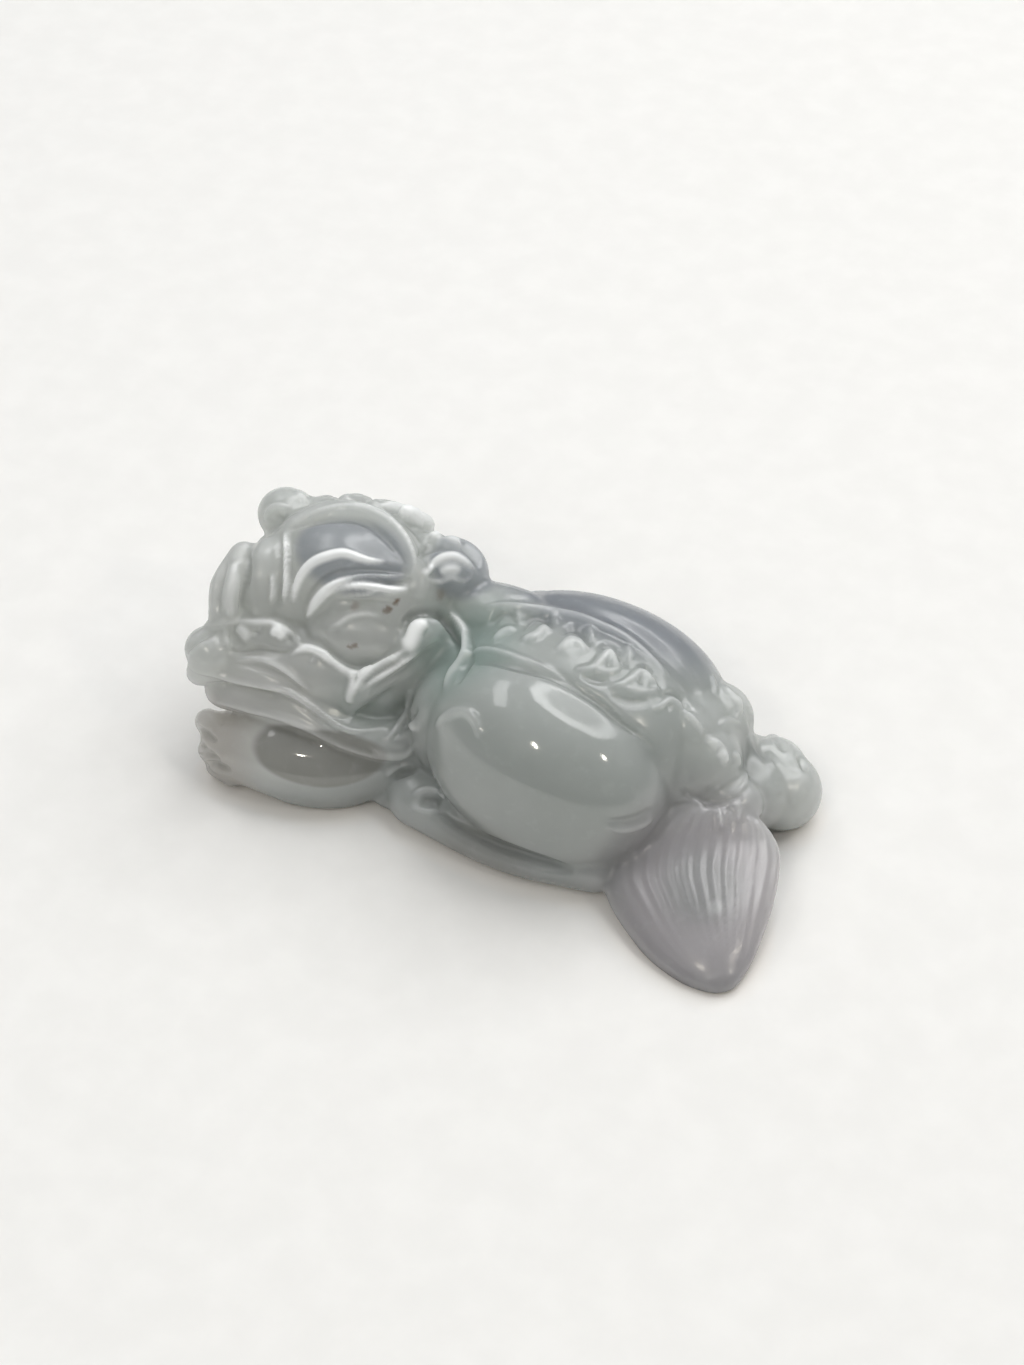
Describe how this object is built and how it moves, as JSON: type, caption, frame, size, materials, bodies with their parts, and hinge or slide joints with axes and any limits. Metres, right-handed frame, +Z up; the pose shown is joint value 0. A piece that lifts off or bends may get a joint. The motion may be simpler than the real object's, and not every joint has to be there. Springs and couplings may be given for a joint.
{
  "type": "jade pixiu pendant",
  "caption": "Small carved jade pixiu lying on its belly, head turned to one side, spine knobs down the back and a leaf-shaped tail; a lucky figure to wear or to hold.",
  "frame": {"origin": "middle of the flat underside's bounding box, on the ground plane", "axes": "+X from the head to the tail along the body, +Y to the animal's right flank, +Z up out of its back"},
  "size_m": [0.0426, 0.0224, 0.0165],
  "materials": {
    "jade": "polished, slightly cloudy, frosted in the grooves"
  },
  "bodies": {
    "root": {"pixiu": "jade"}
  },
  "joints": []
}
